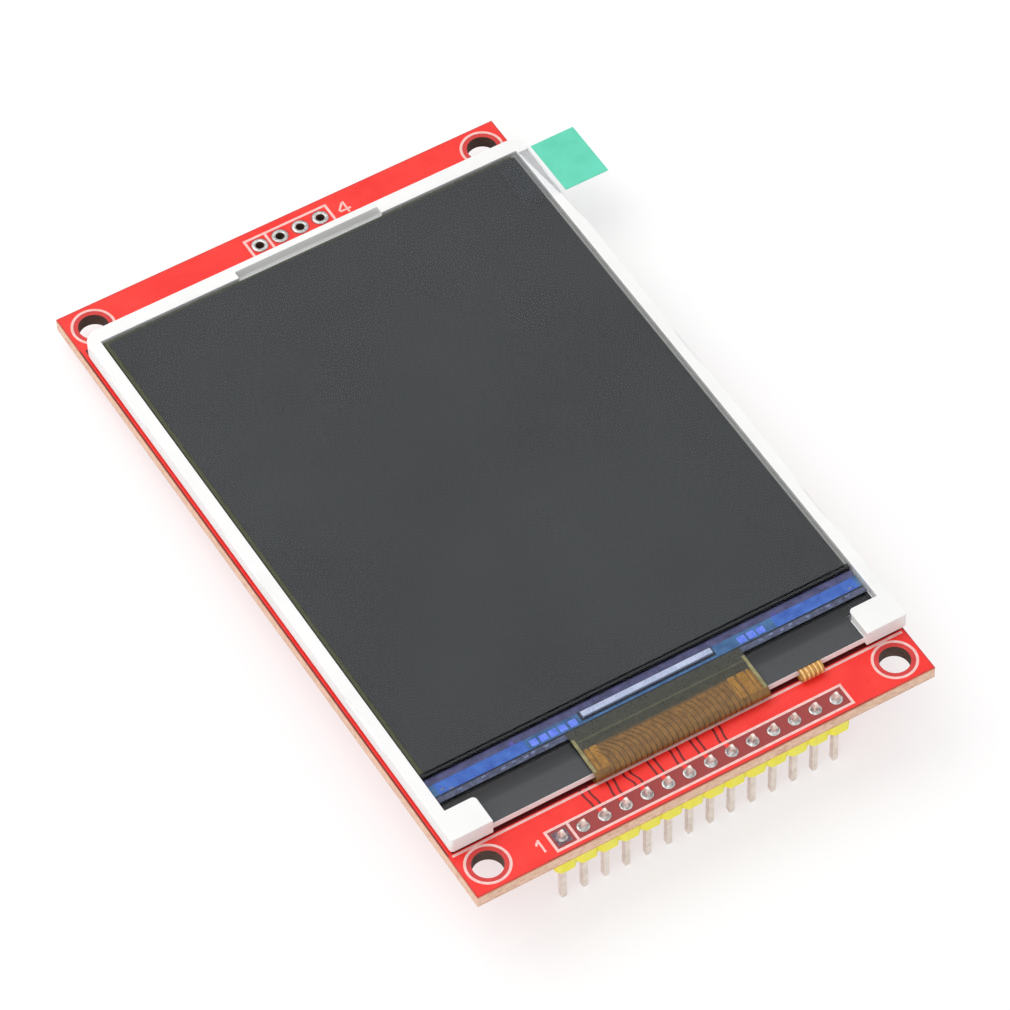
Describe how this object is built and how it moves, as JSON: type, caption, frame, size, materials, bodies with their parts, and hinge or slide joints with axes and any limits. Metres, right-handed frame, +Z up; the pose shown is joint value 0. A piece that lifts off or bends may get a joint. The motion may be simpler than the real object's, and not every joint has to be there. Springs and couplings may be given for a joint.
{
  "type": "tft display module",
  "caption": "Bare colour display panel in a white frame on a red circuit board, with a pin header in front and a memory card socket beneath.",
  "frame": {"origin": "centre of the four mounting holes, on the underside of the circuit board", "axes": "+Z up through the screen, +X along the pin header, +Y from the header towards the rear edge"},
  "size_m": [0.0611, 0.0892, 0.013],
  "materials": {
    "board": "glossy red solder mask with white legend",
    "header_plastic": "satin moulded plastic",
    "pin_metal": "tinned brass, satin",
    "solder": "bright solder",
    "frame_plastic": "satin moulded plastic",
    "reflector_film": "silvered film",
    "light_guide_plastic": "clear moulded acrylic",
    "diffuser_film": "frosted film",
    "prism_film": "fine prismatic film",
    "rim_tape": "black film tape",
    "backlight_flex": "amber polyimide with gilded tracks",
    "led_package": "white package with yellow phosphor",
    "lower_polarizer": "grey film",
    "array_glass": "polished glass over dark metal tracks",
    "filter_glass": "polished glass over a black mask",
    "screen": "glossy dark grey polarizer",
    "driver_chip": "polished silicon",
    "panel_flex": "amber polyimide over copper tracks",
    "mounting_tape": "foam tape",
    "clear_film": "clear glossy film",
    "pull_tab": "satin tape",
    "socket_plastic": "moulded plastic",
    "socket_shell": "pressed stainless sheet",
    "contact_metal": "gilded spring metal",
    "package_plastic": "moulded epoxy",
    "leg_metal": "tinned",
    "resistor": "glazed black between tinned ends",
    "capacitor": "ceramic between tinned ends"
  },
  "bodies": {
    "root": {"board": "board", "header_strip": "header_plastic", "header_solder": "solder", "lcd_frame": "frame_plastic", "reflector_sheet": "reflector_film", "light_guide": "light_guide_plastic", "diffuser_sheet": "diffuser_film", "prism_sheet_lower": "prism_film", "prism_sheet_upper": "prism_film", "rim_tape": "rim_tape", "backlight_flex": "backlight_flex", "lower_polarizer": "lower_polarizer", "array_glass": "array_glass", "filter_glass": "filter_glass", "upper_polarizer": "screen", "driver_chip": "driver_chip", "panel_flex": "panel_flex", "flex_solder": "solder", "mounting_tape_left": "mounting_tape", "mounting_tape_right": "mounting_tape", "protective_film": "clear_film", "tab_carrier": "clear_film", "pull_tab": "pull_tab", "card_socket_base": "socket_plastic", "card_socket_shell": "socket_shell", "card_contacts": "contact_metal", "regulator_body": "package_plastic", "regulator_legs": "leg_metal", "transistor_body": "package_plastic", "transistor_legs": "leg_metal", "header_pin_01": "pin_metal", "header_pin_02": "pin_metal", "header_pin_03": "pin_metal", "header_pin_04": "pin_metal", "header_pin_05": "pin_metal", "header_pin_06": "pin_metal", "header_pin_07": "pin_metal", "header_pin_08": "pin_metal", "header_pin_09": "pin_metal", "header_pin_10": "pin_metal", "header_pin_11": "pin_metal", "header_pin_12": "pin_metal", "header_pin_13": "pin_metal", "header_pin_14": "pin_metal", "led_01": "led_package", "led_02": "led_package", "led_03": "led_package", "led_04": "led_package", "led_05": "led_package", "led_06": "led_package", "resistor_01": "resistor", "resistor_02": "resistor", "resistor_03": "resistor", "resistor_04": "resistor", "resistor_05": "resistor", "resistor_06": "resistor", "capacitor_01": "capacitor", "capacitor_02": "capacitor", "capacitor_03": "capacitor", "capacitor_04": "capacitor"}
  },
  "joints": []
}
